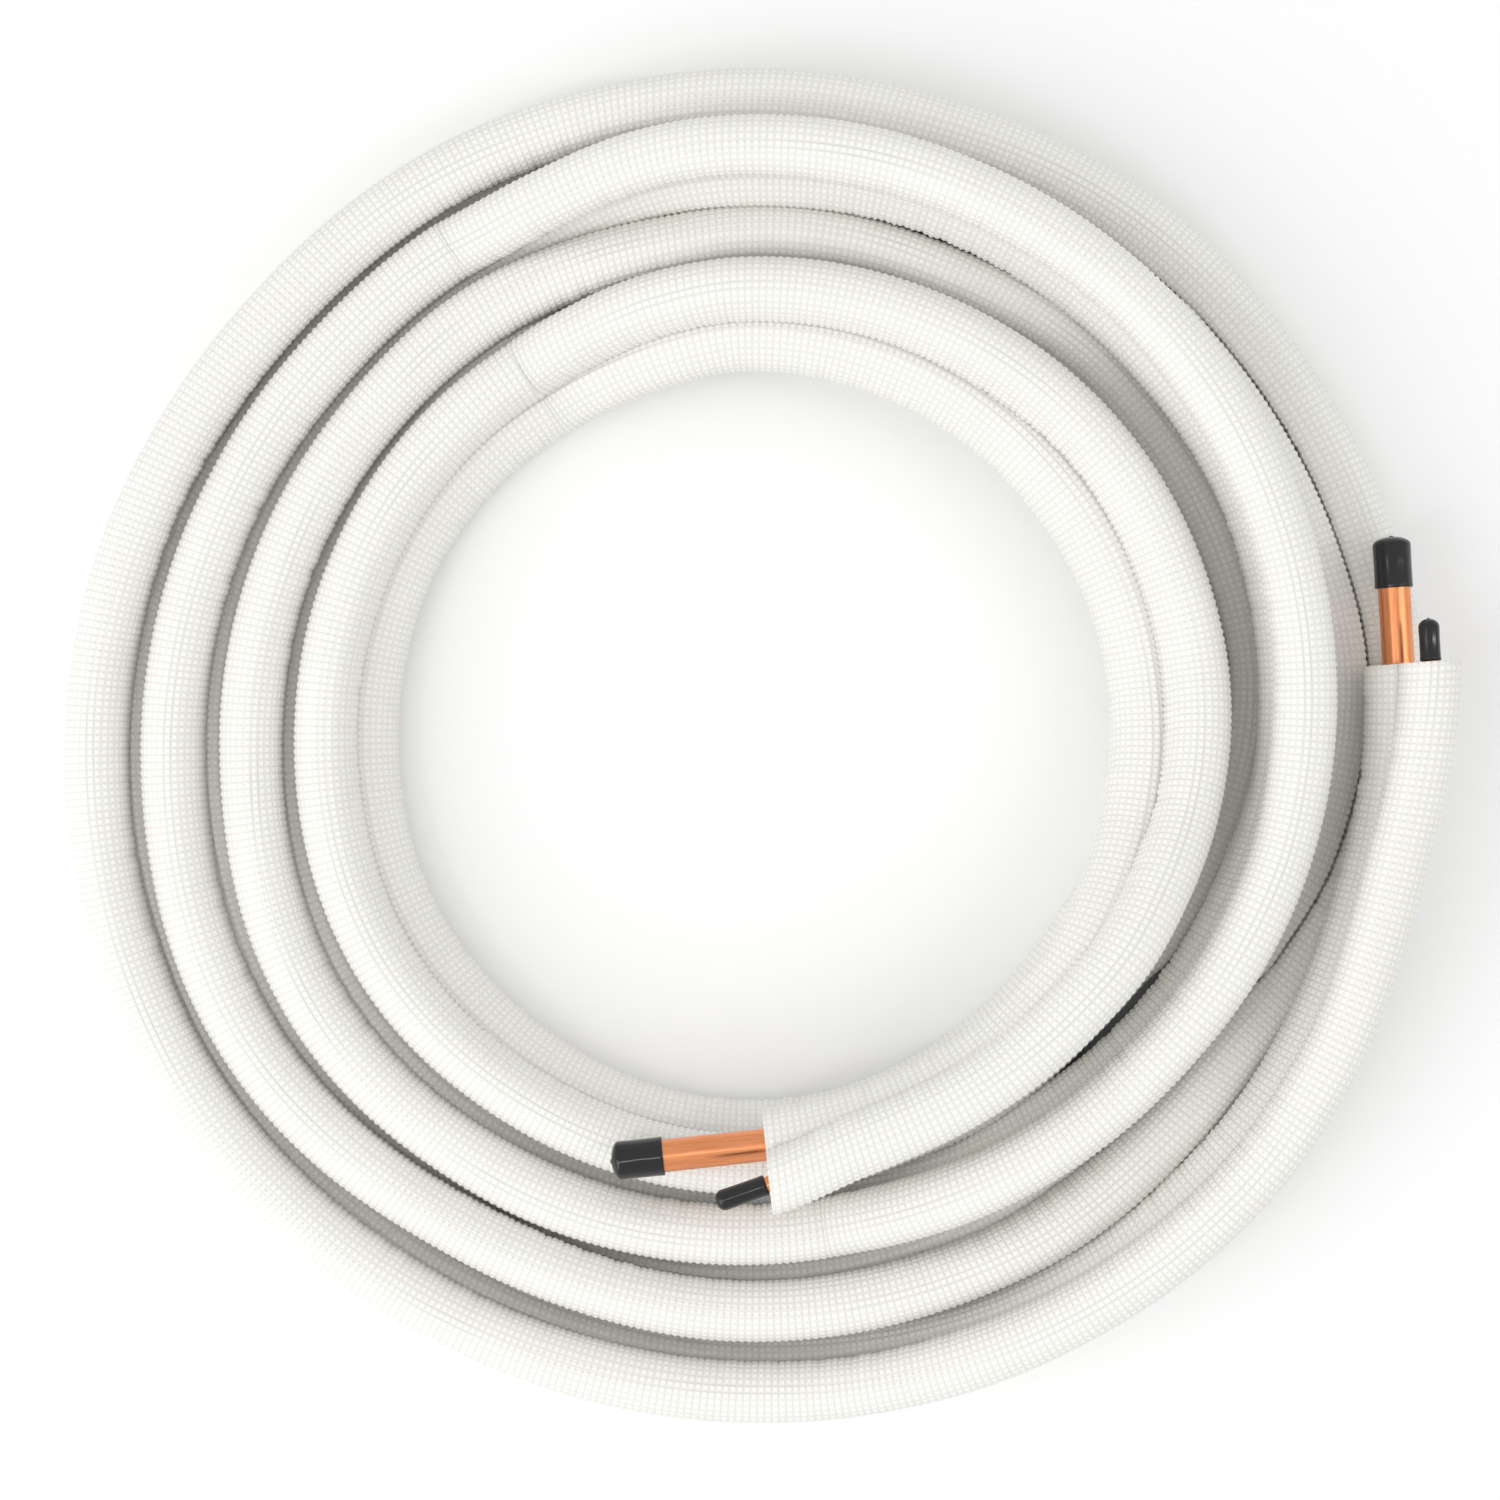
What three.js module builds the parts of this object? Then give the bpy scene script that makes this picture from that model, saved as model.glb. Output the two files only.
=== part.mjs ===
// A coiled pair of insulated copper lines: a suction line and a thinner liquid line.
// Millimetres, +Z up. The coil lies flat on the floor, and +X runs to its outer end.
import * as THREE from 'three';

// Copper lines.
const suctionOd = 12.7;
const liquidOd = 6.35;
const copperWall = 0.8;

// Foam jackets, bonded side by side.
const suctionJacketOd = 28.4;
const liquidJacketOd = 24.4;
const fitGap = 0.3; // left between pieces that touch

// Ends: bare copper beyond the jacket, and the caps pushed over it.
const outerBare = 30.5;
const innerBare = 40;
const suctionCapOd = 15.1;
const suctionCapLength = 20.4;
const liquidCapOd = 8.2;
const outerLiquidCap = 16.5;
const innerLiquidCap = 20.5;
const capEnd = 2.2; // thickness of a cap's closed end
const capDome = 3.4; // height of its rounding
const innerLiquidTurn = 13; // degrees that the liquid line's inner end bends outward

// The coil.
const eyeRadius = 140; // from the centre to the innermost jacket
const startAngle = 7; // where the outer end is cut, seen from above
const stationStep = 12; // degrees of winding between two sections

// One strand of the pair takes this much room beside the next: the suction jacket's, and more
// where the liquid jacket is thicker than usual for it.
const liquidShare = 0.86;
const thicker = Math.max(liquidJacketOd - liquidShare * suctionJacketOd, 0);
const strandPitch = suctionJacketOd + 0.65 * thicker + fitGap;
const bond = (suctionJacketOd + liquidJacketOd) / 2 + fitGap;
const jacketSides = 12;
const suctionFloor = suctionJacketOd / 2 * Math.cos(Math.PI / jacketSides);
const liquidFloor = liquidJacketOd / 2 * Math.cos(Math.PI / jacketSides) + 0.1;

// How the suction line lies, turn by turn from the outer end. A row is the winding angle in
// the turn, the radius, the lift off the floor, and the lean of the liquid line: 0 is outward
// beside it and 90 is on top. The radius is read at a pitch of 28.7 and an eye of 140, and the
// lift at a bond of 25.9.
const lay = {
  pitch: 28.7,
  eye: 140,
  bond: 25.9,
  turns: [
    [
      [0, 261.5, 25.8, 74], [17, 257.3, 25.8, 89], [37, 257, 26.3, 88], [47, 257, 25, 86],
      [67, 255.5, 13.8, 84], [87, 252, 1.3, 76], [97, 250.5, 0, 76], [127, 246, 0, 70],
      [157, 246, 0, 58], [187, 245.5, 0, 60], [227, 246.5, 0, 76], [247, 250.5, 0, 80],
      [262, 253, 0, 85], [277, 246, 0, 65], [297, 238.5, 0, 40], [327, 237.7, 0, -4],
      [347, 238.5, 0, -4],
    ],
    [
      [0, 239, 0, -4], [17, 229, 0, -4], [27, 218.5, 0, -2], [37, 209, 0, 21],
      [47, 209.5, 0, 40], [67, 215.5, 0, 62], [77, 218, 0, 72], [97, 217.5, 0, 74],
      [127, 214, 0, 72], [157, 216, 0, 57], [187, 215, 0, 60], [227, 217, 0, 71],
      [247, 218.7, 0, 68], [257, 223.2, 10.7, 78.5], [267, 228.5, 19.7, 84], [277, 230, 25.8, 84],
      [297, 231, 28.6, 88], [327, 228, 28.1, 90], [347, 223.5, 25.8, 90],
    ],
    [
      [0, 219.5, 25, 90], [17, 213.5, 26.3, 90], [27, 208.3, 30, 90], [37, 204, 29.8, 91],
      [47, 200, 27.4, 90], [67, 193, 19.1, 85], [87, 188, 0, 76], [127, 185, 0, 65],
      [157, 186, 0, 58], [187, 184.5, 0, 62], [227, 188, 0, 68], [247, 188.5, 0, 62],
      [267, 186.8, 0, 59], [277, 187.1, 0, 53], [287, 187.4, 0, 51], [307, 186.2, 0, 45],
      [327, 182.7, 0, 9], [347, 183.5, 0, -4],
    ],
    [
      [0, 182, 0, -4], [17, 169.5, 0, 4], [27, 161.5, 0, 27], [37, 157.5, 0, 60],
      [57, 157, 0, 72], [87, 158.5, 0, 72], [127, 155.3, 0, 67], [157, 154.7, 0, 60],
      [187, 154.8, 0, 62], [227, 158.5, 0, 62], [247, 159.3, 0, 58], [257, 159.7, 7.8, 55],
      [267, 161.2, 15.3, 52], [277, 163.5, 18.3, 53], [307, 163, 19.2, 45], [327, 162, 20.8, 38],
      [347, 161.5, 20.4, 41],
    ],
    [
      [0, 160.2, 20.8, 42], [17, 157.5, 29.8, 51], [27, 156.2, 38.8, 60], [37, 155.7, 46.8, 68],
      [47, 154.8, 49.8, 75], [67, 154, 50.8, 82], [82, 154.3, 50.8, 80], [94, 155.8, 50.8, 63],
    ],
  ],
};

const foam = () => new THREE.MeshStandardMaterial({ color: 0xefeeea, roughness: 0.9, metalness: 0 });
const copper = () => new THREE.MeshStandardMaterial({ color: 0xd08a50, roughness: 0.32, metalness: 1 });
const vinyl = () => new THREE.MeshStandardMaterial({ color: 0x101010, roughness: 0.35, metalness: 0 });

const rows = lay.turns.flatMap((turn, k) => turn.map(([angle, ...rest]) => [360 * k + angle, ...rest]));
const wound = rows[rows.length - 1][0];

// A smooth value of one column of the rows at a winding angle.
function smooth(angle, column) {
  const last = rows.length - 1;
  let i = 0;
  while (i < last - 1 && rows[i + 1][0] <= angle) i += 1;
  const slope = (k) => {
    const a = rows[Math.max(k - 1, 0)];
    const b = rows[Math.min(k + 1, last)];
    return (b[column] - a[column]) / (b[0] - a[0]);
  };
  const span = rows[i + 1][0] - rows[i][0];
  const t = (angle - rows[i][0]) / span;
  const t2 = t * t;
  const t3 = t2 * t;
  return (2 * t3 - 3 * t2 + 1) * rows[i][column] + (t3 - 2 * t2 + t) * span * slope(i)
    + (3 * t2 - 2 * t3) * rows[i + 1][column] + (t3 - t2) * span * slope(i + 1);
}

function suctionPoint(angle) {
  const grow = strandPitch / lay.pitch;
  const radius = eyeRadius + (smooth(angle, 1) - lay.eye) * grow;
  const height = suctionFloor + Math.max(smooth(angle, 2), 0) * bond / lay.bond;
  const turn = THREE.MathUtils.degToRad(startAngle - angle);
  return new THREE.Vector3(radius * Math.cos(turn), radius * Math.sin(turn), height);
}

// The section plane at a winding angle: along the line, outward from the coil, and up.
function section(angle) {
  const step = 1;
  const low = Math.max(angle - step, 0);
  const high = Math.min(angle + step, wound);
  const along = suctionPoint(high).sub(suctionPoint(low)).normalize();
  const outward = new THREE.Vector3(0, 0, 1).cross(along).normalize();
  const up = new THREE.Vector3().crossVectors(along, outward);
  return { at: suctionPoint(angle), along, outward, up, lean: THREE.MathUtils.degToRad(smooth(angle, 3)) };
}

const stations = [];
for (let angle = 0; angle < wound; angle += stationStep) stations.push(section(angle));
stations.push(section(wound));

// The two lines' own stations: the liquid line is the suction line's, moved across the bond.
// Where it rolls over the suction line, the straight steps between stations need more room.
// It never leans below the floor.
const suctionRun = stations;
const liquidRun = stations.map((s, i) => {
  const roll = Math.max(
    Math.abs(s.lean - stations[Math.max(i - 1, 0)].lean),
    Math.abs(s.lean - stations[Math.min(i + 1, stations.length - 1)].lean),
  );
  const across = bond / Math.cos(roll / 2);
  const flat = Math.asin(Math.max((liquidFloor - s.at.z) / across, -1));
  const lean = Math.max(s.lean, flat);
  return {
    ...s,
    at: s.at.clone().addScaledVector(s.outward, across * Math.cos(lean))
      .addScaledVector(s.up, across * Math.sin(lean)),
  };
});

// A run made longer at both ends, straight on.
function lengthen(run, atStart, atEnd, last = run[run.length - 1]) {
  const first = run[0];
  return [
    { ...first, at: first.at.clone().addScaledVector(first.along, -atStart) },
    ...run,
    { ...last, at: last.at.clone().addScaledVector(last.along, atEnd) },
  ];
}

// The same station facing another way, turned in the floor's plane.
function turned(station, degrees) {
  const up = new THREE.Vector3(0, 0, 1);
  const angle = THREE.MathUtils.degToRad(degrees);
  return {
    ...station,
    along: station.along.clone().applyAxisAngle(up, angle),
    outward: station.outward.clone().applyAxisAngle(up, angle),
    up: station.up.clone().applyAxisAngle(up, angle),
  };
}

class RunPath extends THREE.Curve {
  constructor(run) {
    super();
    this.run = run;
  }

  getPoint(t) {
    return this.run[Math.round(t * (this.run.length - 1))].at.clone();
  }

  getSpacedPoints() {
    return this.run.map((s) => s.at.clone());
  }

  computeFrenetFrames() {
    return {
      tangents: this.run.map((s) => s.along),
      normals: this.run.map((s) => s.outward),
      binormals: this.run.map((s) => s.up),
    };
  }
}

// Corners of a flat-bottomed polygon.
function corners(od, sides) {
  return Array.from({ length: sides }, (_, i) => {
    const a = (i + 0.5) * 2 * Math.PI / sides - Math.PI / 2;
    return new THREE.Vector2(od / 2 * Math.cos(a), od / 2 * Math.sin(a));
  });
}

// A round hollow tube along a run.
function tube(run, od, sides, bore, boreSides) {
  const shape = new THREE.Shape(corners(od, sides));
  shape.holes.push(new THREE.Path(corners(bore, boreSides).reverse()));
  return new THREE.ExtrudeGeometry(shape, {
    steps: run.length - 1, curveSegments: 1, extrudePath: new RunPath(run),
  });
}

// A cap: a sleeve with a closed, domed end, pushed on along the given direction.
function cap(mouth, along, od, length, bore) {
  const r = od / 2;
  const top = length - capDome;
  const profile = [
    [0, length - capEnd], [bore / 2, length - capEnd], [bore / 2, 0], [r, 0], [r, top],
    [r * 0.87, top + capDome * 0.55], [r * 0.5, top + capDome * 0.92], [0, length],
  ].map(([x, y]) => new THREE.Vector2(x, y));
  const geometry = new THREE.LatheGeometry(profile, 16);
  geometry.applyQuaternion(new THREE.Quaternion().setFromUnitVectors(new THREE.Vector3(0, 1, 0), along));
  geometry.translate(mouth.x, mouth.y, mouth.z);
  return geometry;
}

// Caps at both ends of a line. Each mouth is `bare` beyond the jacket's cut.
function capAt(station, way, bare, od, length, lineOd) {
  const along = station.along.clone().multiplyScalar(way);
  const mouth = station.at.clone().addScaledVector(along, bare);
  return cap(mouth, along, od, length, lineOd + 2 * fitGap + 0.1);
}

const group = new THREE.Group();
group.name = 'line_set_coil';
const add = (name, geometry, material) => {
  const mesh = new THREE.Mesh(geometry, material);
  mesh.name = name;
  group.add(mesh);
};

add('suction_line_jacket',
  tube(suctionRun, suctionJacketOd, jacketSides, suctionOd + 2 * fitGap, 8), foam());
add('liquid_line_jacket',
  tube(liquidRun, liquidJacketOd, jacketSides, liquidOd + 2 * fitGap, 6), foam());

const end = stations.length - 1;
const liquidInnerEnd = turned(liquidRun[end], innerLiquidTurn);
// The turned cap's rim stays clear of the jacket's cut.
const turnedGap = fitGap + liquidCapOd / 2 * Math.sin(THREE.MathUtils.degToRad(innerLiquidTurn));

// Copper reaches into each cap, short of its closed end.
const reach = suctionCapLength - capEnd - fitGap;
add('suction_line_tube',
  tube(lengthen(suctionRun, outerBare + reach, innerBare + reach),
    suctionOd, 8, suctionOd - 2 * copperWall, 8), copper());
add('liquid_line_tube',
  tube(lengthen(liquidRun, outerLiquidCap - capEnd, innerLiquidCap - capEnd, liquidInnerEnd),
    liquidOd, 6, liquidOd - 2 * copperWall, 6), copper());

add('suction_cap_outer_end',
  capAt(suctionRun[0], -1, outerBare, suctionCapOd, suctionCapLength, suctionOd), vinyl());
add('suction_cap_inner_end',
  capAt(suctionRun[end], 1, innerBare, suctionCapOd, suctionCapLength, suctionOd), vinyl());
add('liquid_cap_outer_end',
  capAt(liquidRun[0], -1, fitGap, liquidCapOd, outerLiquidCap, liquidOd), vinyl());
add('liquid_cap_inner_end',
  capAt(liquidInnerEnd, 1, turnedGap, liquidCapOd, innerLiquidCap, liquidOd), vinyl());

// The origin is under the middle of the coil, on the floor.
const box = new THREE.Box3().setFromObject(group);
const middle = box.getCenter(new THREE.Vector3());
group.position.set(-middle.x, -middle.y, -box.min.z);

export default group;
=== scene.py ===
# A coiled pair of insulated copper lines, seen from straight above on a pale floor.
# Blender works in metres, +Z up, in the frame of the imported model. The coil is worked out
# in millimetres here and goes to metres when its meshes are made.
import math

import bpy
import numpy as np
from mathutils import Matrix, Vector


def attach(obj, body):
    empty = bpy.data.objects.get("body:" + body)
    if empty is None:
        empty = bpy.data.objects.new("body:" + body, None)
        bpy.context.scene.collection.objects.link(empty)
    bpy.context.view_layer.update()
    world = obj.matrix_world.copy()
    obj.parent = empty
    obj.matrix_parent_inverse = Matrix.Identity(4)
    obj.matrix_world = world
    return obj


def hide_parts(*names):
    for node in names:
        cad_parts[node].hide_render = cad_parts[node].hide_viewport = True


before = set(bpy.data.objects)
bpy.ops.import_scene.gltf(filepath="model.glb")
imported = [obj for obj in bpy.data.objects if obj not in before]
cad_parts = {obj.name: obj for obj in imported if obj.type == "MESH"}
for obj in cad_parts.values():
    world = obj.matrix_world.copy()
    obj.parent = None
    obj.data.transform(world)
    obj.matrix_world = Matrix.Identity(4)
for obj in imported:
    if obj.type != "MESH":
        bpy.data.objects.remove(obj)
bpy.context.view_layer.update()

MM = 0.001
FULL_TURN = 2 * math.pi

# ---- Sizes, the same as the solids', in millimetres.
SUCTION_OD, LIQUID_OD, WALL = 12.7, 6.35, 0.8
SUCTION_JACKET, LIQUID_JACKET, FIT = 28.4, 24.4, 0.3
OUTER_BARE, INNER_BARE = 30.5, 40.0
SUCTION_CAP, SUCTION_CAP_LENGTH, LIQUID_CAP = 15.1, 20.4, 8.2
OUTER_LIQUID_CAP, INNER_LIQUID_CAP, CAP_END, CAP_DOME = 16.5, 20.5, 2.2, 3.4
INNER_LIQUID_TURN = 13.0  # degrees that the liquid line's inner end bends outward
START = 7.0  # degrees from +X to the outer cut
EYE = 140.0  # radius of the coil's eye
BOND = (SUCTION_JACKET + LIQUID_JACKET) / 2 + FIT

# The solids' jackets have 12 flat sides and lie on one of them, the liquid line's a little clear.
SIDES, LIQUID_CLEAR = 12, 0.1
FLAT_SHARE = math.cos(math.pi / SIDES)
SUCTION_FLOOR = SUCTION_JACKET / 2 * FLAT_SHARE
LIQUID_FLOOR = LIQUID_JACKET / 2 * FLAT_SHARE + LIQUID_CLEAR

# The table of turns was laid out with this spacing, eye and bond, and it follows the sizes.
LAID_PITCH, LAID_EYE, LAID_BOND = 28.7, 140.0, 25.9
PITCH = SUCTION_JACKET + FIT

# Winding angle in the turn, radius, lift off the floor, lean of the liquid line.
TURNS = [
    [
      [0, 261.5, 25.8, 74], [17, 257.3, 25.8, 89], [37, 257, 26.3, 88], [47, 257, 25, 86],
      [67, 255.5, 13.8, 84], [87, 252, 1.3, 76], [97, 250.5, 0, 76], [127, 246, 0, 70],
      [157, 246, 0, 58], [187, 245.5, 0, 60], [227, 246.5, 0, 76], [247, 250.5, 0, 80],
      [262, 253, 0, 85], [277, 246, 0, 65], [297, 238.5, 0, 40], [327, 237.7, 0, -4],
      [347, 238.5, 0, -4],
    ],
    [
      [0, 239, 0, -4], [17, 229, 0, -4], [27, 218.5, 0, -2], [37, 209, 0, 21],
      [47, 209.5, 0, 40], [67, 215.5, 0, 62], [77, 218, 0, 72], [97, 217.5, 0, 74],
      [127, 214, 0, 72], [157, 216, 0, 57], [187, 215, 0, 60], [227, 217, 0, 71],
      [247, 218.7, 0, 68], [257, 223.2, 10.7, 78.5], [267, 228.5, 19.7, 84], [277, 230, 25.8, 84],
      [297, 231, 28.6, 88], [327, 228, 28.1, 90], [347, 223.5, 25.8, 90],
    ],
    [
      [0, 219.5, 25, 90], [17, 213.5, 26.3, 90], [27, 208.3, 30, 90], [37, 204, 29.8, 91],
      [47, 200, 27.4, 90], [67, 193, 19.1, 85], [87, 188, 0, 76], [127, 185, 0, 65],
      [157, 186, 0, 58], [187, 184.5, 0, 62], [227, 188, 0, 68], [247, 188.5, 0, 62],
      [267, 186.8, 0, 59], [277, 187.1, 0, 53], [287, 187.4, 0, 51], [307, 186.2, 0, 45],
      [327, 182.7, 0, 9], [347, 183.5, 0, -4],
    ],
    [
      [0, 182, 0, -4], [17, 169.5, 0, 4], [27, 161.5, 0, 27], [37, 157.5, 0, 60],
      [57, 157, 0, 72], [87, 158.5, 0, 72], [127, 155.3, 0, 67], [157, 154.7, 0, 60],
      [187, 154.8, 0, 62], [227, 158.5, 0, 62], [247, 159.3, 0, 58], [257, 159.7, 7.8, 55],
      [267, 161.2, 15.3, 52], [277, 163.5, 18.3, 53], [307, 163, 19.2, 45], [327, 162, 20.8, 38],
      [347, 161.5, 20.4, 41],
    ],
    [
      [0, 160.2, 20.8, 42], [17, 157.5, 29.8, 51], [27, 156.2, 38.8, 60], [37, 155.7, 46.8, 68],
      [47, 154.8, 49.8, 75], [67, 154, 50.8, 82], [82, 154.3, 50.8, 80], [94, 155.8, 50.8, 63],
    ],
]
ROWS = np.array([[360 * k + row[0], *row[1:]] for k, turn in enumerate(TURNS) for row in turn], float)
ANGLE, RADIUS, LIFT, LEAN = range(4)
WOUND = ROWS[-1, ANGLE]


# ---- The route of the two lines.
def smooth(angle, column):
    """A column of the table at any winding angle, on a smooth curve through its rows."""
    x, y = ROWS[:, ANGLE], ROWS[:, column]
    n = len(x)
    lo, hi = np.maximum(np.arange(n) - 1, 0), np.minimum(np.arange(n) + 1, n - 1)
    slope = (y[hi] - y[lo]) / (x[hi] - x[lo])
    i = np.clip(np.searchsorted(x, angle, side="right") - 1, 0, n - 2)
    span = x[i + 1] - x[i]
    t = (angle - x[i]) / span
    return ((2 * t**3 - 3 * t**2 + 1) * y[i] + (t**3 - 2 * t**2 + t) * span * slope[i]
            + (3 * t**2 - 2 * t**3) * y[i + 1] + (t**3 - t**2) * span * slope[i + 1])


def suction_points(angle):
    """The suction line's centre at winding angles in degrees, clockwise from the outer cut."""
    radius = EYE + (smooth(angle, RADIUS) - LAID_EYE) * (PITCH / LAID_PITCH)
    height = SUCTION_FLOOR + np.maximum(smooth(angle, LIFT), 0) * BOND / LAID_BOND
    turn = np.radians(START - angle)
    return np.stack([radius * np.cos(turn), radius * np.sin(turn), height], 1)


def unit(v):
    return v / np.linalg.norm(v, axis=1, keepdims=True)


# The two centre lines, sampled finely, with a section frame at every sample.
SAMPLES = 6000
angles = np.linspace(0.0, WOUND, SAMPLES)
suction_line = suction_points(angles)
ahead = suction_points(np.minimum(angles + 1, WOUND))
behind = suction_points(np.maximum(angles - 1, 0))
along = unit(ahead - behind)
outward = unit(np.cross(np.array([0, 0, 1.0]), along))
upward = np.cross(along, outward)

# How far the liquid line leans up round the suction line: never so little that it sinks in the floor.
flat = np.arcsin(np.clip((LIQUID_FLOOR - suction_line[:, 2]) / BOND, -1, 1))
lean = np.maximum(np.radians(smooth(angles, LEAN)), flat)
liquid_line = suction_line + BOND * (np.cos(lean)[:, None] * outward + np.sin(lean)[:, None] * upward)

# The solids' box is centred on the origin, which puts the coil's eye a little off it.
shift = np.array([-4.714, -0.062, 0.0])

# The liquid line's inner end bends outward in the floor's plane.
bend = math.radians(INNER_LIQUID_TURN)
turn_out = np.array([[math.cos(bend), -math.sin(bend), 0], [math.sin(bend), math.cos(bend), 0], [0, 0, 1]])
liquid_last, liquid_outward = turn_out @ along[-1], turn_out @ outward[-1]


# ---- Meshes.
ABOVE_FLOOR = 0.05  # millimetres, the lowest that a tube's surface goes
CUT_UV = -50.0  # far from the run, so that the embossing stays off the cut faces


def around(segs):
    """The angles of a ring's vertices, from its outer side up and over."""
    return np.arange(segs) * FULL_TURN / segs


def resample(points, spacing, before, after, last):
    """Stations at an even spacing along a centre line, run straight on at both ends."""
    def at_both_ends(values):
        return np.concatenate([values[:1][:bool(before)], values, values[-1:][:bool(after)]])

    stretched = at_both_ends(points)
    if before:
        stretched[0] = points[0] - along[0] * before
    if after:
        stretched[-1] = points[-1] + last * after
    run = np.concatenate([[0], np.cumsum(np.linalg.norm(np.diff(stretched, axis=0), axis=1))])
    count = int(round(run[-1] / spacing))
    s = np.linspace(0, run[-1], count + 1)

    def column(values):
        return np.interp(s, run, values)

    def vectors(values):
        return np.stack([column(values[:, k]) for k in range(3)], 1)

    return (np.arange(count + 1) * spacing, vectors(stretched), unit(vectors(at_both_ends(outward))),
            unit(vectors(at_both_ends(upward))), column(at_both_ends(lean)), column(at_both_ends(angles)))


def mesh_object(name, verts, faces, uvs, material):
    """A smooth shaded object of quads, from vertices in millimetres and a UV for each corner."""
    mesh = bpy.data.meshes.new(name)
    mesh.vertices.add(len(verts))
    mesh.vertices.foreach_set("co", (verts * MM).astype(np.float32).ravel())
    mesh.loops.add(faces.size)
    mesh.loops.foreach_set("vertex_index", faces.astype(np.int32).ravel())
    mesh.polygons.add(len(faces))
    mesh.polygons.foreach_set("loop_start", np.arange(0, faces.size, 4, dtype=np.int32))
    mesh.polygons.foreach_set("loop_total", np.full(len(faces), 4, dtype=np.int32))
    mesh.polygons.foreach_set("use_smooth", np.full(len(faces), True))
    layer = mesh.uv_layers.new(name="Run")
    layer.data.foreach_set("uv", uvs.astype(np.float32).ravel())
    mesh.update(calc_edges=True)
    mesh.validate()
    mesh.materials.append(material)
    obj = bpy.data.objects.new(name, mesh)
    bpy.context.collection.objects.link(obj)
    return obj


def quads_between_rings(rings, segs):
    """Quads that join each ring of vertices to the next one."""
    i = np.arange(rings - 1)[:, None] * segs
    j = np.arange(segs)[None, :]
    k = (j + 1) % segs
    return np.stack([i + j, i + k, i + segs + k, i + segs + j], -1).reshape(-1, 4)


def surface(at, out, up, radius, s, segs, u_scale, v_scale):
    """Rings of vertices round a centre line, the quads between them and the quads' UVs."""
    a = around(segs)
    ring = np.cos(a)[None, :, None] * out[:, None, :] + np.sin(a)[None, :, None] * up[:, None, :]
    verts = at[:, None, :] + ring * radius[:, :, None]
    rings = len(at)
    u0, u1 = np.repeat(s[:-1] * u_scale, segs), np.repeat(s[1:] * u_scale, segs)
    v0 = np.tile(np.arange(segs) / segs * v_scale, rings - 1)
    v1 = np.tile((np.arange(segs) + 1) / segs * v_scale, rings - 1)
    corners = [np.stack(corner, -1) for corner in ((u0, v0), (u0, v1), (u1, v1), (u1, v0))]
    return verts.reshape(-1, 3), quads_between_rings(rings, segs), np.stack(corners, 1)


def hollow_tube(name, points, spacing, segs, outer, inner, material, before=0.0, after=0.0,
                last=along[-1], relief=None, u_scale=1.0, v_scale=8, bore_every=4):
    """A tube with a bore along a centre line. Only the outer surface has relief and every ring."""
    s, at, out, up, leaning, winding = resample(points, spacing, before, after, last)
    at = at + shift
    radius = np.full((len(s), segs), outer / 2)
    if relief is not None:
        radius = radius + relief(s, around(segs), leaning, winding, outer / 2)
    verts_out, faces_out, uvs_out = surface(at, out, up, radius, s, segs, u_scale, v_scale)

    keep = np.unique(np.append(np.arange(0, len(s), bore_every), len(s) - 1))
    bore = np.full((len(keep), segs), inner / 2)
    verts_in, faces_in, uvs_in = surface(at[keep], out[keep], up[keep], bore, s[keep], segs,
                                         u_scale, v_scale)
    base = len(verts_out)
    faces_in, uvs_in = (faces_in + base)[:, ::-1], uvs_in[:, ::-1]  # the bore faces inward

    j = np.arange(segs)
    k = (j + 1) % segs
    first_cut = np.stack([j, base + j, base + k, k], -1)
    end_out, end_in = (len(s) - 1) * segs, base + (len(keep) - 1) * segs
    last_cut = np.stack([end_out + j, end_out + k, end_in + k, end_in + j], -1)

    verts = np.vstack([verts_out, verts_in])
    verts[:, 2] = np.maximum(verts[:, 2], ABOVE_FLOOR)
    faces = np.vstack([faces_out, faces_in, first_cut, last_cut])
    uvs = np.vstack([uvs_out.reshape(-1, 2), uvs_in.reshape(-1, 2), np.full((8 * segs, 2), CUT_UV)])
    return mesh_object(name, verts, faces, uvs, material)


# ---- Materials.
# The foam's dark end carries both its mottle and the painted shade in the embossing's grooves.
FOAM_DARK, FOAM_LIGHT = (0.76, 0.748, 0.705, 1), (0.93, 0.922, 0.885, 1)
COPPER_DARK, COPPER_LIGHT = (0.72, 0.25, 0.105, 1), (0.90, 0.37, 0.17, 1)
VINYL_DARK, VINYL_LIGHT = (0.003, 0.003, 0.0035, 1), (0.008, 0.008, 0.0085, 1)
PAPER = (0.93, 0.93, 0.93, 1)
SEAM = 7.0  # where the film's seam runs, in cells round from the outer side
SEAM_DRIFT = 3.0  # how many cells it wanders
LONG_GROOVE = 0.8  # depth of the grooves along the line, where those round it have 1
STREAK_ALONG, STREAK_ROUND = 0.012, 0.42  # changes of the faint lines to a cell, along and round
STREAK_DEPTH, SEAM_DEPTH = 2.5, 0.45
MOTTLE, GROOVE_PAINTED_SHADE = 0.3, 0.8  # shares of the foam's colour that are cloudy, and that painted shade takes away in the grooves


def new_material(name):
    m = bpy.data.materials.new(name)
    m.use_nodes = True
    return m, m.node_tree.nodes, m.node_tree.links, m.node_tree.nodes["Principled BSDF"]


def math_node(nodes, links, op, a, b=None):
    n = nodes.new("ShaderNodeMath")
    n.operation = op
    for index, value in enumerate((a, b)):
        if value is None:
            continue
        if isinstance(value, (int, float)):
            n.inputs[index].default_value = value
        else:
            links.new(value, n.inputs[index])
    return n.outputs[0]


def chain(nodes, links, value, *steps):
    """Apply math steps, each an operation and its other value, one after another."""
    for op, other in steps:
        value = math_node(nodes, links, op, value, other)
    return value


def uv_run(nodes):
    """The UV map, in cells along the run and cells round it on the jackets."""
    uv = nodes.new("ShaderNodeUVMap")
    uv.uv_map = "Run"
    return uv.outputs["UV"]


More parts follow.
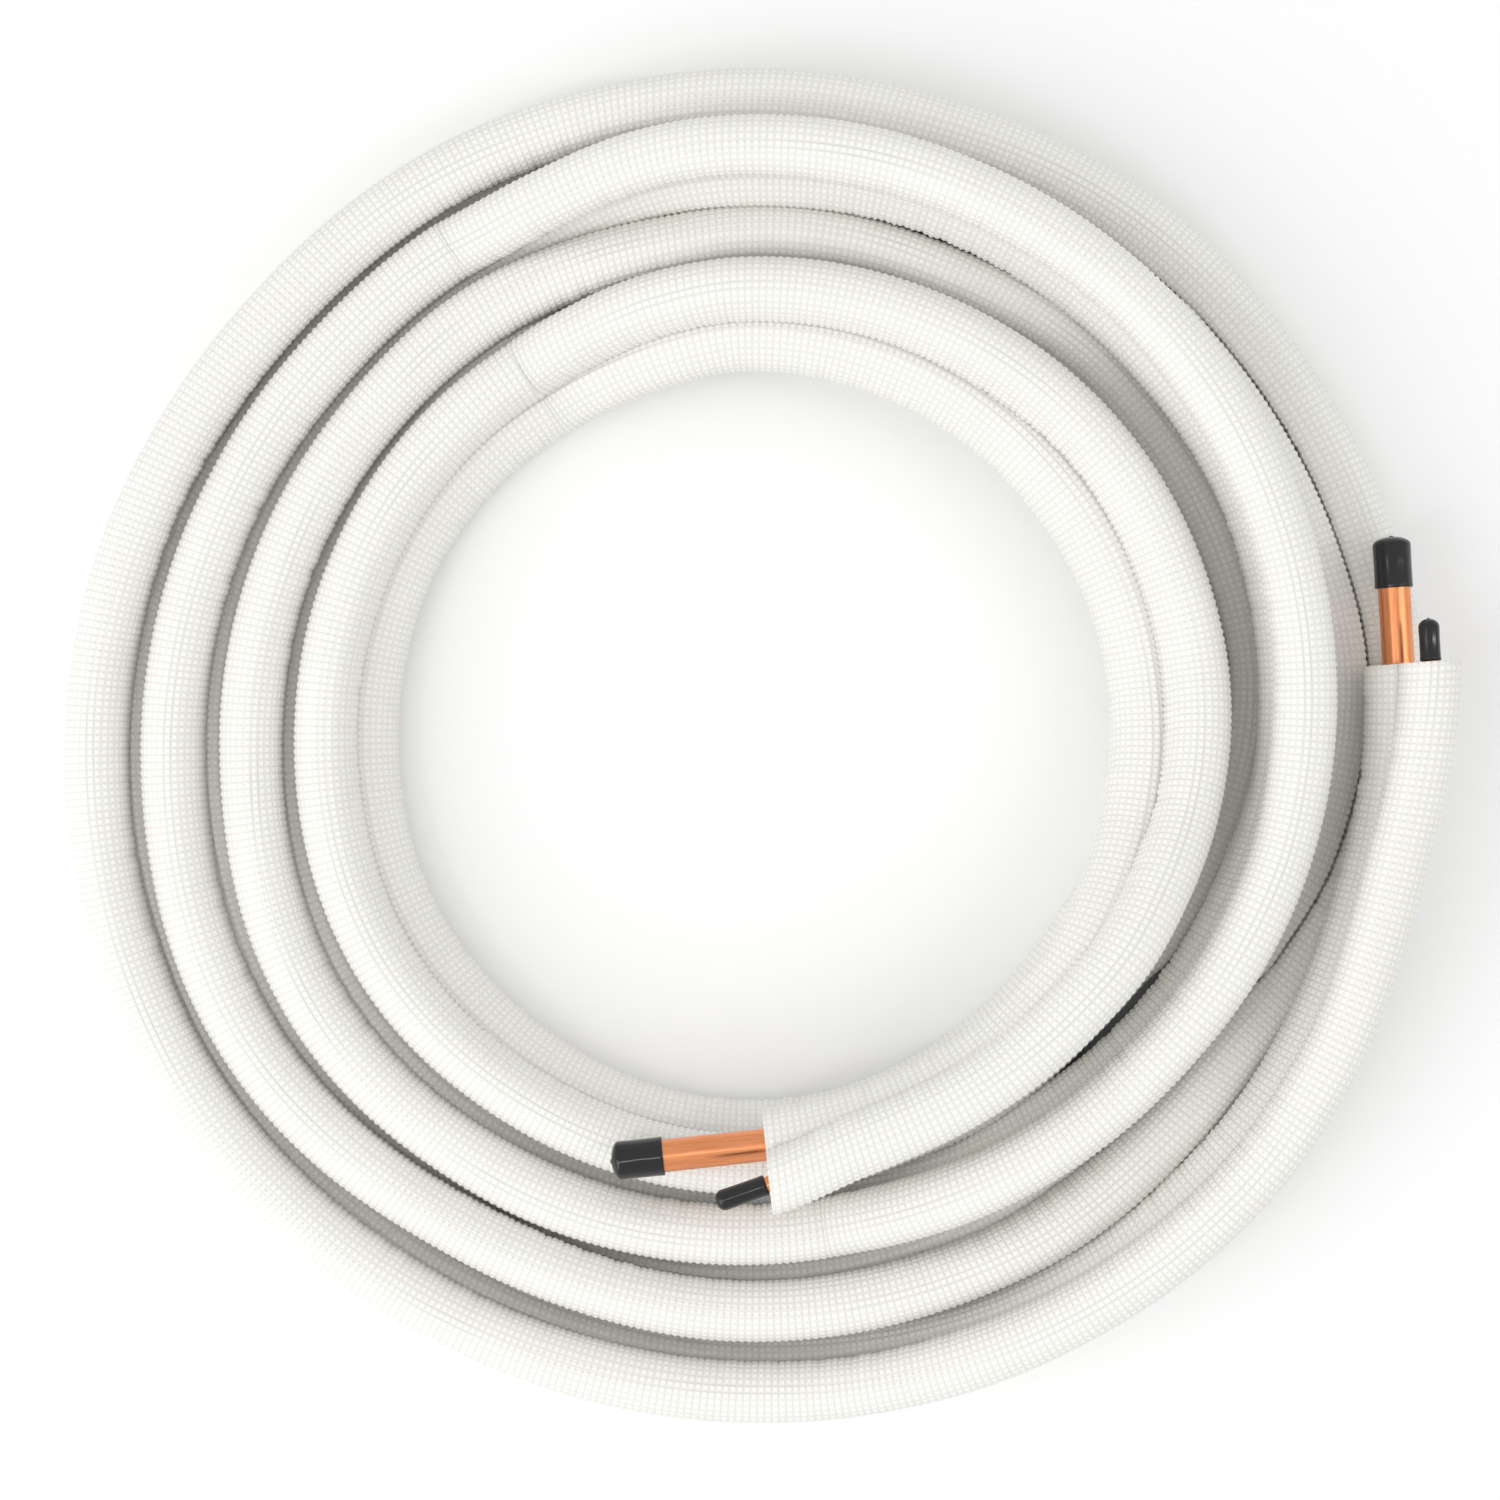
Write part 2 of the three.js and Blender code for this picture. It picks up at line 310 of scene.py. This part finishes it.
def noise(nodes, links, scale, detail, vector=None):
    n = nodes.new("ShaderNodeTexNoise")
    n.inputs["Scale"].default_value = scale
    n.inputs["Detail"].default_value = detail
    if vector is not None:
        links.new(vector, n.inputs["Vector"])
    return n


def object_noise(nodes, links, scale, detail):
    """Noise in the object's own space."""
    coords = nodes.new("ShaderNodeTexCoord")
    return noise(nodes, links, scale, detail, coords.outputs["Object"]).outputs["Fac"]


def colour(nodes, links, bsdf, fac, dark, light, start=0.0, stop=1.0):
    """The base colour, from dark to light as fac goes from start to stop."""
    ramp = nodes.new("ShaderNodeValToRGB")
    for element, position, value in zip(ramp.color_ramp.elements, (start, stop), (dark, light)):
        element.position = position
        element.color = value
    links.new(fac, ramp.inputs["Fac"])
    links.new(ramp.outputs["Color"], bsdf.inputs["Base Color"])


def bumps(nodes, links, bsdf, height, strength, distance):
    bump = nodes.new("ShaderNodeBump")
    bump.inputs["Strength"].default_value = strength
    bump.inputs["Distance"].default_value = distance
    links.new(height, bump.inputs["Height"])
    links.new(bump.outputs["Normal"], bsdf.inputs["Normal"])


def foam_material():
    """White foam under a film embossed with small square cells, one to a UV unit."""
    m, nodes, links, bsdf = new_material("foam")
    split = nodes.new("ShaderNodeSeparateXYZ")
    links.new(uv_run(nodes), split.inputs[0])
    u, v = split.outputs[0], split.outputs[1]

    # 1 along the middle of a groove, and 0 on the cells. The grooves along the line are fainter.
    ring_groove, long_groove = [
        chain(nodes, links, way, ("MULTIPLY", FULL_TURN), ("COSINE", None), ("MULTIPLY", -0.5),
              ("ADD", 0.5), ("POWER", 2.0)) for way in (u, v)]
    fainter = math_node(nodes, links, "MULTIPLY", long_groove, LONG_GROOVE)
    groove = math_node(nodes, links, "MAXIMUM", ring_groove, fainter)

    # Slow changes along the run, drawn out so that they read as faint lines.
    stretch = nodes.new("ShaderNodeCombineXYZ")
    links.new(math_node(nodes, links, "MULTIPLY", u, STREAK_ALONG), stretch.inputs[0])
    links.new(math_node(nodes, links, "MULTIPLY", v, STREAK_ROUND), stretch.inputs[1])
    streak = noise(nodes, links, scale=1.0, detail=3.0, vector=stretch.outputs[0]).outputs["Fac"]

    # The film's seam: two deeper grooves side by side that wander a little along the run.
    drift = noise(nodes, links, scale=1.0, detail=0.0)
    drift.noise_dimensions = "1D"
    links.new(math_node(nodes, links, "MULTIPLY", u, 0.01), drift.inputs["W"])
    centre = chain(nodes, links, drift.outputs["Fac"], ("MULTIPLY", SEAM_DRIFT),
                   ("ADD", SEAM - SEAM_DRIFT / 2))
    seam = chain(nodes, links, math_node(nodes, links, "SUBTRACT", v, centre), ("ABSOLUTE", None),
                 ("SUBTRACT", 0.5), ("ABSOLUTE", None), ("MULTIPLY", -5.0), ("ADD", 1.0), ("MAXIMUM", 0.0))
    deep = math_node(nodes, links, "ADD", groove, math_node(nodes, links, "MULTIPLY", seam, SEAM_DEPTH))
    raised = math_node(nodes, links, "MULTIPLY", streak, STREAK_DEPTH)
    height = math_node(nodes, links, "SUBTRACT", raised, deep)
    bumps(nodes, links, bsdf, height, strength=0.7, distance=0.0004)

    # Painted shade darkens the grooves and the seam, and the foam is faintly mottled.
    cloudy = object_noise(nodes, links, scale=22.0, detail=4.0)
    mottle = math_node(nodes, links, "MULTIPLY", cloudy, MOTTLE)
    painted_groove_shade = chain(nodes, links, deep, ("MULTIPLY", -GROOVE_PAINTED_SHADE), ("ADD", GROOVE_PAINTED_SHADE))
    colour(nodes, links, bsdf, math_node(nodes, links, "ADD", mottle, painted_groove_shade), FOAM_DARK, FOAM_LIGHT)
    bsdf.inputs["Roughness"].default_value = 0.5
    bsdf.inputs["Specular IOR Level"].default_value = 0.3
    return m


def copper_material():
    """Drawn copper, with fine streaks along the tube."""
    m, nodes, links, bsdf = new_material("copper")
    stretch = nodes.new("ShaderNodeMapping")
    stretch.inputs["Scale"].default_value = (0.02, 3.0, 1.0)
    links.new(uv_run(nodes), stretch.inputs["Vector"])
    drawn = noise(nodes, links, scale=3.0, detail=6.0, vector=stretch.outputs["Vector"]).outputs["Fac"]
    colour(nodes, links, bsdf, drawn, COPPER_DARK, COPPER_LIGHT, start=0.3, stop=0.7)
    rough = chain(nodes, links, drawn, ("MULTIPLY", 0.2), ("ADD", 0.2))
    links.new(rough, bsdf.inputs["Roughness"])
    bumps(nodes, links, bsdf, drawn, strength=0.15, distance=0.0001)
    bsdf.inputs["Metallic"].default_value = 1.0
    return m


def vinyl_material():
    """Glossy black vinyl with a fine grain."""
    m, nodes, links, bsdf = new_material("vinyl")
    grain = object_noise(nodes, links, scale=420.0, detail=3.0)
    colour(nodes, links, bsdf, grain, VINYL_DARK, VINYL_LIGHT)
    rough = chain(nodes, links, grain, ("MULTIPLY", 0.1), ("ADD", 0.08))
    links.new(rough, bsdf.inputs["Roughness"])
    bumps(nodes, links, bsdf, grain, strength=0.05, distance=0.0002)
    bsdf.inputs["Specular IOR Level"].default_value = 0.5
    return m


foam, copper, vinyl = foam_material(), copper_material(), vinyl_material()

# ---- The foam jackets: crests and grooves of the embossing run round each one.
CELL, RELIEF = 2.8, 0.6
SKIN_GAP = 0.1  # how much thinner the round skin is than the solid's corners
SUCTION_CELLS, LIQUID_CELLS = 32, 27  # cells round each jacket
MOST_OUT = 0.35  # how far the embossing and the swells may stand off the round
END_TUCK = 0.35  # how far a jacket's cut ends draw in
SWELL = 0.09  # slow unevenness of the foam
RIB, RIB_CHANGE = 0.8, 190  # depth of the ribs inside a bend, and how often they come and go
RIB_EDGE = 0.4  # the ribs begin at this share of the radius inward from the line's centre
BRIDGE = 8.0  # how far from the lines' plane the film fills the crease between the two jackets
JACKET_BORE_EVERY = 30  # the bore needs few rings

# Where a jacket sags against its neighbour: from and to a winding angle, in which direction
# round the section, and by how much.
SUCTION_SAGS = [(610, 700, 180, 2.4), (10, 75, 190, 2.2), (730, 790, 190, 2.6)]
LIQUID_SAGS = [(1085, 1155, 345, 3.2)]


def sag(a, winding, start, stop, side, much):
    """How far a jacket sags, full over the middle of its stretch and on one side of the section."""
    share = np.clip((winding - start) / (stop - start), 0, 1)
    near = np.clip(np.sin(math.pi * share) * 2, 0, 1)
    facing = np.clip(np.cos(a - math.radians(side)), 0, 1) ** 3
    return much * near[:, None] * facing[None, :]


def web_reach(a, leaning, partner, r):
    """How far from its axis a jacket reaches: its radius, more where it lies flat on its
    partner, and more where the film bridges part of the crease on both sides of that."""
    off = np.abs((a[None, :] - leaning[:, None] - partner + math.pi) % FULL_TURN - math.pi)
    half = math.atan(BRIDGE / r)
    return np.where(off < half, r / np.cos(np.minimum(off, half)),
                    r / np.cos(np.clip(off - 2 * half, -half, 0)))


def jacket_relief(seed, partner, sags):
    """How far each vertex of a jacket stands off its round, by ring and angle. The partner is
    the direction of the other line, round from where the liquid line leans to."""
    rng = np.random.default_rng(seed)
    swells = [(rng.uniform(60, 260), rng.integers(1, 4), rng.uniform(0, FULL_TURN)) for _ in range(8)]
    ribs = [(rng.uniform(8, 15), rng.uniform(0, FULL_TURN)) for _ in range(3)]

    def relief(s, a, leaning, winding, r):
        def wave(length, phase):
            return np.sin(FULL_TURN * s / length + phase)

        crest = RELIEF * (0.5 - np.arange(len(s)) % 2)
        out = np.repeat(crest[:, None], len(a), 1)
        for length, lobes, phase in swells:
            out += SWELL * wave(length, phase)[:, None] * np.cos(lobes * a + phase)[None, :]
        # The foam pinches into ribs on the inner side of a bend.
        pinch = np.clip(-np.cos(a) - RIB_EDGE, 0, 1)[None, :]
        rib = sum(wave(length, phase) for length, phase in ribs) / len(ribs)
        slow = 0.5 + 0.5 * wave(RIB_CHANGE, ribs[0][1])
        out += RIB * pinch * (slow * (rib - 0.5))[:, None]
        out[[0, -1]] -= END_TUCK
        out = np.minimum(out, MOST_OUT)
        for place in sags:
            out += sag(a, winding, *place)
        return out + web_reach(a, leaning, partner, r) - r

    return relief


def jacket(name, line, segs, outer, inner, painted_groove_shade, relief):
    """A foam jacket with a crest or a groove of the embossing at every ring."""
    return hollow_tube(name, line, CELL / 2, segs, outer - SKIN_GAP, inner + 2 * FIT, foam,
                       relief=relief, u_scale=1 / CELL, v_scale=painted_groove_shade, bore_every=JACKET_BORE_EVERY)


suction_jacket = jacket("suction_jacket_skin", suction_line, 24, SUCTION_JACKET, SUCTION_OD,
                        SUCTION_CELLS, jacket_relief(3, 0.0, SUCTION_SAGS))
liquid_jacket = jacket("liquid_jacket_skin", liquid_line, 23, LIQUID_JACKET, LIQUID_OD,
                       LIQUID_CELLS, jacket_relief(8, math.pi, LIQUID_SAGS))

# ---- The copper: each tube runs on from the jacket's cut into its cap.
TUBE_RING = 6.0  # between one ring of a tube and the next
reach = SUCTION_CAP_LENGTH - CAP_END - FIT
suction_tube = hollow_tube("suction_copper", suction_line, TUBE_RING, 32, SUCTION_OD,
                           SUCTION_OD - 2 * WALL, copper,
                           before=OUTER_BARE + reach, after=INNER_BARE + reach)
liquid_tube = hollow_tube("liquid_copper", liquid_line, TUBE_RING, 20, LIQUID_OD,
                          LIQUID_OD - 2 * WALL, copper,
                          before=OUTER_LIQUID_CAP - CAP_END, after=INNER_LIQUID_CAP - CAP_END,
                          last=liquid_last)

# ---- The caps: soft sleeves with a slightly flared rim, a domed end and the moulding's small nub.
CAP_SEGS, DOME_STEPS = 48, 9
CAP_EASE = 0.3  # how much wider a cap's bore is than its tube
AXIS = 0.001  # radius of the ring that closes a cap on its axis
NUB_FOOT, NUB = 0.25, 0.35  # heights of the nub's foot and of its flat top


def cap(name, mouth, direction, out, od, length, tube_od):
    """A cap turned about its axis, from the closed end of its bore round its rim to its nub."""
    r, bore_r = od / 2, (tube_od + CAP_EASE) / 2
    top = length - CAP_DOME
    bore = [(AXIS, length - CAP_END), (bore_r, length - CAP_END), (bore_r, 0.4), (bore_r + 0.2, 0.0)]
    sleeve = [(r - 0.25, 0.0), (r, 0.3), (r, 1.2), (r - 0.08, 1.8), (r - 0.12, length * 0.5)]
    dome = [(r * math.cos(t), top + CAP_DOME * math.sin(t))
            for t in np.linspace(0, math.pi / 2 - 0.12, DOME_STEPS)]
    nub = [(r * 0.11, length + NUB_FOOT), (r * 0.05, length + NUB), (AXIS, length + NUB)]
    profile = bore + sleeve + dome + nub
    a = around(CAP_SEGS)
    ring = np.cos(a)[:, None] * out + np.sin(a)[:, None] * np.cross(direction, out)
    verts = np.vstack([mouth + shift + ring * x + direction * y for x, y in profile])
    faces = quads_between_rings(len(profile), CAP_SEGS)
    return mesh_object(name, verts, faces, np.zeros((faces.size, 2)), vinyl)


turned_gap = FIT + LIQUID_CAP / 2 * math.sin(bend)
suction_sizes = (SUCTION_CAP, SUCTION_CAP_LENGTH, SUCTION_OD)
caps = [
    ("suction_cap_outer_end", "suction_cap_outer",
     suction_line[0] - along[0] * OUTER_BARE, -along[0], outward[0], *suction_sizes),
    ("suction_cap_inner_end", "suction_cap_inner",
     suction_line[-1] + along[-1] * INNER_BARE, along[-1], outward[-1], *suction_sizes),
    ("liquid_cap_outer_end", "liquid_cap_outer",
     liquid_line[0] - along[0] * FIT, -along[0], outward[0],
     LIQUID_CAP, OUTER_LIQUID_CAP, LIQUID_OD),
    ("liquid_cap_inner_end", "liquid_cap_inner",
     liquid_line[-1] + liquid_last * turned_gap, liquid_last, liquid_outward,
     LIQUID_CAP, INNER_LIQUID_CAP, LIQUID_OD),
]
pieces = [(suction_jacket, "suction_line_jacket", "foam"), (liquid_jacket, "liquid_line_jacket", "foam"),
          (suction_tube, "suction_line_tube", "copper"), (liquid_tube, "liquid_line_tube", "copper")]
for node, name, *shape in caps:
    pieces.append((cap(name, *shape), node, "vinyl"))
for obj, node, slot in pieces:
    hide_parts(node)
    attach(obj, "root")

# ---- The floor, the light and the camera, in metres.
FLOOR_HALF = 3.0
KEY_SIZE, KEY_WATTS = (2.4, 2.4), 30
STRIP_SIZE, STRIP_LEFT_WATTS, STRIP_RIGHT_WATTS = (0.05, 1.2), 3, 2.5
STRIP_TARGET = (0.15, 0, 0.05)
SKY = 0.83
CAMERA_HEIGHT, CAMERA_ASIDE = 1.3, 0.00205
SENSOR, FOCAL_SHARE = 36.0, 3172 / 1500  # millimetres, and the focal length as a share of it


def paper_floor():
    mesh = bpy.data.meshes.new("floor")
    w = FLOOR_HALF
    mesh.from_pydata([(-w, -w, 0), (w, -w, 0), (w, w, 0), (-w, w, 0)], [], [(0, 1, 2, 3)])
    paper, _, _, bsdf = new_material("paper")
    bsdf.inputs["Base Color"].default_value = PAPER
    bsdf.inputs["Roughness"].default_value = 0.9
    mesh.materials.append(paper)
    floor = bpy.data.objects.new("floor", mesh)
    bpy.context.collection.objects.link(floor)


def area(name, place, target, size, watts):
    data = bpy.data.lights.new(name, "AREA")
    data.shape = "RECTANGLE"
    data.size, data.size_y = size
    data.energy = watts
    obj = bpy.data.objects.new(name, data)
    obj.location = place
    obj.rotation_euler = (Vector(target) - Vector(place)).to_track_quat("-Z", "Y").to_euler()
    bpy.context.collection.objects.link(obj)


def white_world():
    world = bpy.data.worlds.new("studio")
    world.use_nodes = True
    background = world.node_tree.nodes["Background"]
    background.inputs["Color"].default_value = (1, 1, 1, 1)
    background.inputs["Strength"].default_value = SKY
    bpy.context.scene.world = world


def camera_above():
    """Straight down on the coil's eye."""
    data = bpy.data.cameras.new("camera")
    data.sensor_width = SENSOR
    data.lens = FOCAL_SHARE * SENSOR
    obj = bpy.data.objects.new("camera", data)
    eye = shift * MM
    obj.location = (eye[0] + CAMERA_ASIDE, eye[1] - CAMERA_ASIDE, CAMERA_HEIGHT)
    bpy.context.collection.objects.link(obj)
    bpy.context.scene.camera = obj


paper_floor()
area("key_left", (-2.0, -1.1, 1.8), (0, 0, 0), KEY_SIZE, KEY_WATTS)
# Two narrow strips give the caps and the copper their bright streaks.
area("strip_left", (-0.55, -0.35, 1.7), STRIP_TARGET, STRIP_SIZE, STRIP_LEFT_WATTS)
area("strip_right", (1.3, 0.1, 1.3), STRIP_TARGET, STRIP_SIZE, STRIP_RIGHT_WATTS)
white_world()
bpy.context.scene.view_settings.view_transform = "Standard"
camera_above()
